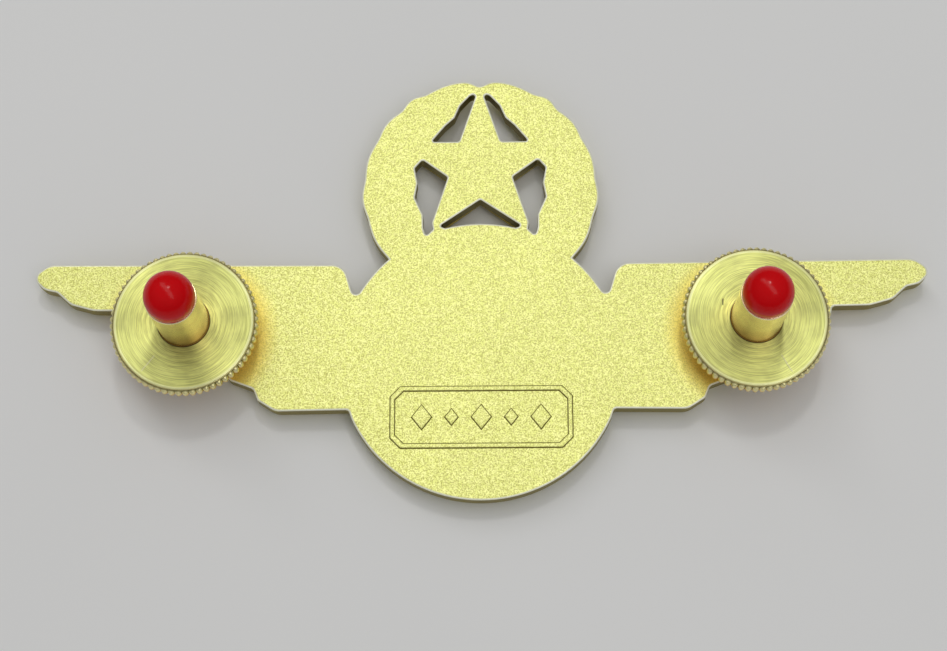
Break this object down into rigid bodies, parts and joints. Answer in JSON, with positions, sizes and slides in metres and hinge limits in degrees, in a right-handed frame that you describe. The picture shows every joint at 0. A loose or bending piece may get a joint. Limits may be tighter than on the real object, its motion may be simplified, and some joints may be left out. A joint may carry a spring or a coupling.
{
  "type": "pilot wings pin",
  "caption": "Die-struck pilot wings badge with a star in a wreath above a round body, held by threaded studs and knurled thumb nuts with red tips.",
  "frame": {"origin": "centre of the pin's footprint, on the surface that its face lies on", "axes": "+X along the wings to the right as seen from the back, +Y to the top of the star, +Z out of the badge's back along the studs"},
  "size_m": [0.0762, 0.0374, 0.0154],
  "materials": {
    "satin_gold": "gold plated, fine sandblasted satin back with bright rolled edges",
    "turned_brass": "bare lathe-turned brass with concentric tool marks",
    "barrel_brass": "smooth turned brass",
    "stud_brass": "bare cut-thread brass",
    "silver_solder": "dull silver solder, slightly rippled",
    "red_plastic": "glossy moulded red plastic"
  },
  "bodies": {
    "badge": {"badge_plate": "satin_gold", "left_stud": "stud_brass", "right_stud": "stud_brass", "left_solder_fillet": "silver_solder", "right_solder_fillet": "silver_solder"},
    "left_tip": {"left_red_tip": "red_plastic"},
    "left_nut": {"left_nut_disc": "turned_brass", "left_nut_barrel": "barrel_brass"},
    "right_tip": {"right_red_tip": "red_plastic"},
    "right_nut": {"right_nut_disc": "turned_brass", "right_nut_barrel": "barrel_brass"}
  },
  "joints": [
    {"name": "left_nut_travel", "type": "slide", "parent": "badge", "child": "left_tip", "axis": [0, 0, 1], "range_m": [-0.0019, 0.00507]},
    {"name": "left_nut_turn", "type": "hinge", "parent": "left_tip", "child": "left_nut", "pos_m": [-0.0247, -0.00413, 0.0049], "axis": [0, 0, 1], "range_deg": [-1080, 2880]},
    {"name": "right_nut_travel", "type": "slide", "parent": "badge", "child": "right_tip", "axis": [0, 0, 1], "range_m": [-0.0019, 0.00507]},
    {"name": "right_nut_turn", "type": "hinge", "parent": "right_tip", "child": "right_nut", "pos_m": [0.0229, -0.00413, 0.0049], "axis": [0, 0, 1], "range_deg": [-1080, 2880]}
  ],
  "couplings": [
    {"joint": "left_nut_turn", "follows": "left_nut_travel", "rad_per_m": 9894.8},
    {"joint": "right_nut_turn", "follows": "right_nut_travel", "rad_per_m": 9894.8}
  ]
}
